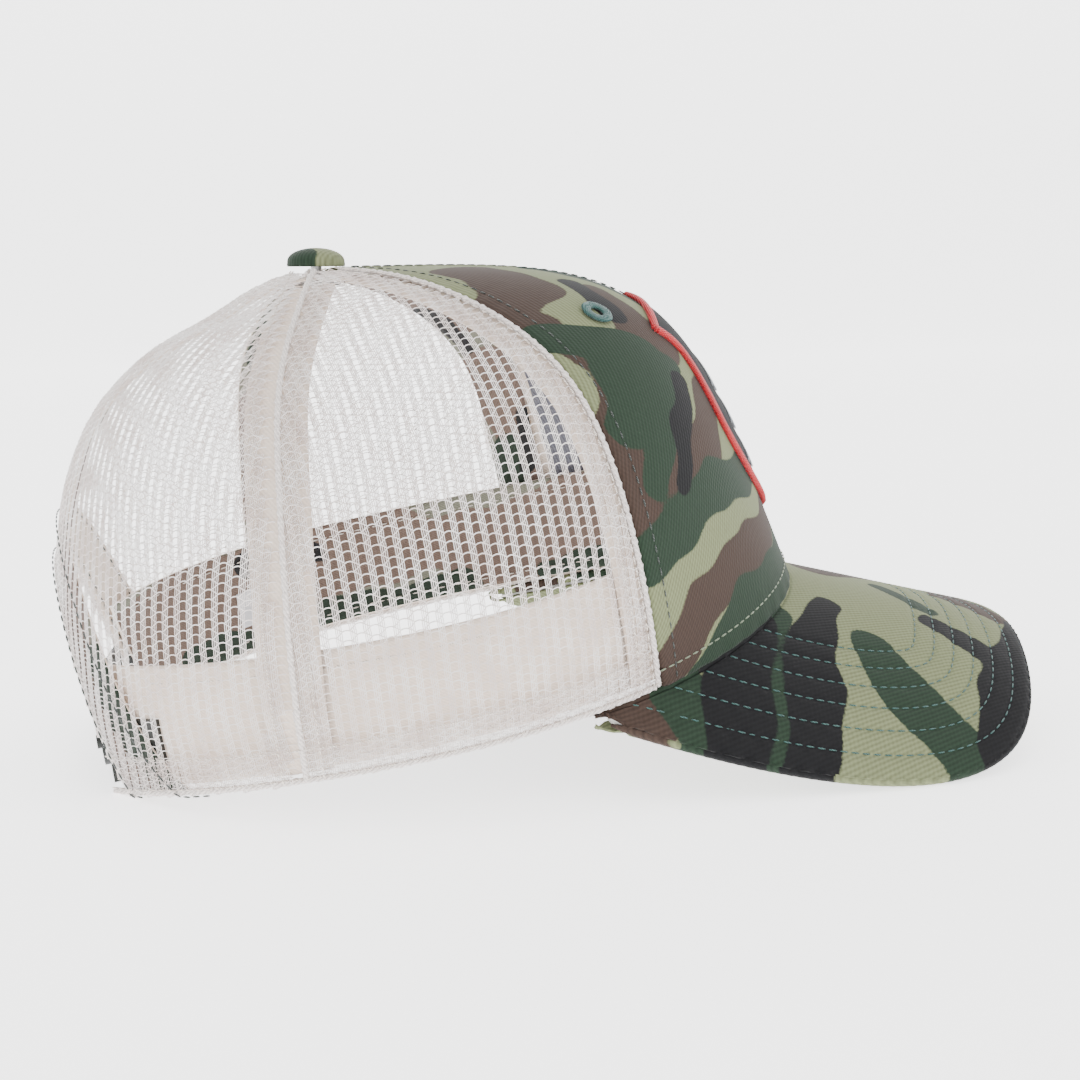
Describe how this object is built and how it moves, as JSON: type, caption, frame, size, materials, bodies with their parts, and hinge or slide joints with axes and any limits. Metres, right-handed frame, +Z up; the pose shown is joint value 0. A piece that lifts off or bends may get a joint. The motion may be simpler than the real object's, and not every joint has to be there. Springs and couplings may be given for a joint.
{
  "type": "trucker cap",
  "caption": "Trucker mesh cap: stiff twill front with a shield patch, net sides and back, curved bill, snap strap at the back.",
  "frame": {"origin": "middle of the bounding box, on the surface that the cap stands on", "axes": "+X out over the bill, +Y to the wearer's left, +Z up"},
  "size_m": [0.28, 0.1702, 0.1384],
  "materials": {
    "camo_twill": "printed cotton twill, matt",
    "stiff_lining": "woven buckram, matt",
    "net": "knitted polyester net, slight sheen",
    "seam_tape": "printed twill tape, printed side in",
    "sweatband_cloth": "printed twill, printed side in",
    "bill_plastic": "moulded sheet",
    "patch_twill": "dense twill, matt",
    "patch_edge_thread": "merrowed rayon thread, satin",
    "patch_motif_thread": "rayon embroidery thread, satin",
    "button_steel": "pressed sheet",
    "eyelet_thread": "embroidery thread, satin",
    "strap_plastic": "moulded, satin",
    "label_cloth": "woven satin tape, blank"
  },
  "bodies": {
    "crown": {"front_panel_left": "camo_twill", "front_panel_right": "camo_twill", "front_lining_left": "stiff_lining", "front_lining_right": "stiff_lining", "side_mesh_left": "net", "side_mesh_right": "net", "back_mesh_left": "net", "back_mesh_right": "net", "front_seam_tape_left": "seam_tape", "front_seam_tape_right": "seam_tape", "side_seam_tape_left": "seam_tape", "side_seam_tape_right": "seam_tape", "centre_seam_tape": "seam_tape", "arch_binding": "camo_twill", "sweatband": "sweatband_cloth", "bill_board": "bill_plastic", "bill_top_cover": "camo_twill", "bill_under_cover": "camo_twill", "patch_base": "patch_twill", "patch_border": "patch_edge_thread", "patch_motif": "patch_motif_thread", "button_cover": "camo_twill", "button_shell": "button_steel", "button_rivet": "button_steel", "eyelet_left": "eyelet_thread", "eyelet_right": "eyelet_thread", "strap_tab_left": "strap_plastic", "strap_tab_right": "strap_plastic", "woven_label": "label_cloth"},
    "strap_left": {"strap_with_holes": "strap_plastic"},
    "strap_right": {"strap_with_studs": "strap_plastic"}
  },
  "joints": [
    {"name": "left_strap_bend", "type": "hinge", "parent": "crown", "child": "strap_left", "pos_m": [-0.12752, 0.03511, 0.01191], "axis": [0.1098, 0, -0.994], "range_deg": [0, 75], "stiffness_Nm_per_rad": 0.002},
    {"name": "right_strap_bend", "type": "hinge", "parent": "crown", "child": "strap_right", "pos_m": [-0.12584, -0.03489, 0.01209], "axis": [0.1098, 0, -0.994], "range_deg": [0, 40], "stiffness_Nm_per_rad": 0.002}
  ]
}
